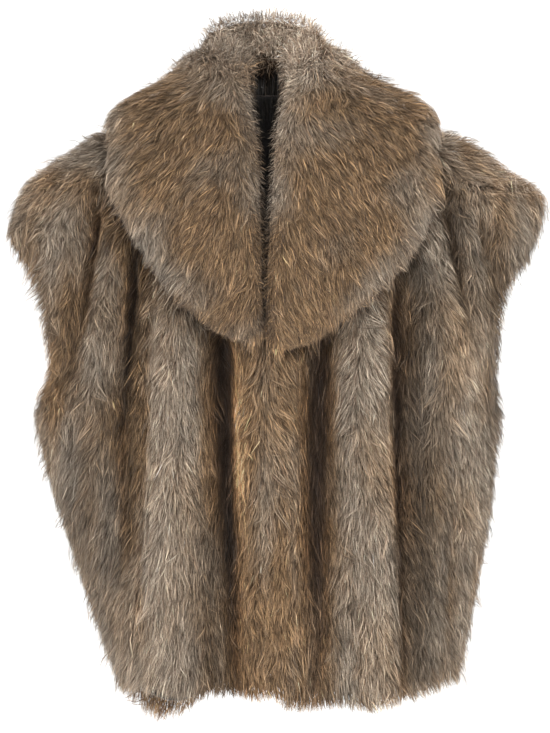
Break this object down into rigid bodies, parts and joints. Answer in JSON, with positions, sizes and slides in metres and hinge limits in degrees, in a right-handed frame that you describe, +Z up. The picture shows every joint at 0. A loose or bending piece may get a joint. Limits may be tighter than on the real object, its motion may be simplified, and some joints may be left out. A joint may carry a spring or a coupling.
{
  "type": "faux fur vest",
  "caption": "Sleeveless long-pile faux fur vest with a large shawl collar, filled out and hanging with soft vertical folds, open at neck, armholes and hem.",
  "frame": {"origin": "between the shoulders, at the height of the neck seam, where a wearer holds the vest up", "axes": "+Z up, -Y towards the front of the vest, +X towards the wearer's left"},
  "size_m": [0.5911, 0.2688, 0.7704],
  "materials": {
    "body_fur": "long soft pile, taupe and golden brown, dark in the folds, low sheen",
    "collar_fur": "long soft pile, golden brown with pale tips, low sheen"
  },
  "bodies": {
    "root": {"front_right": "body_fur", "front_left": "body_fur", "back": "body_fur", "collar_right": "collar_fur", "collar_left": "collar_fur"}
  },
  "joints": []
}
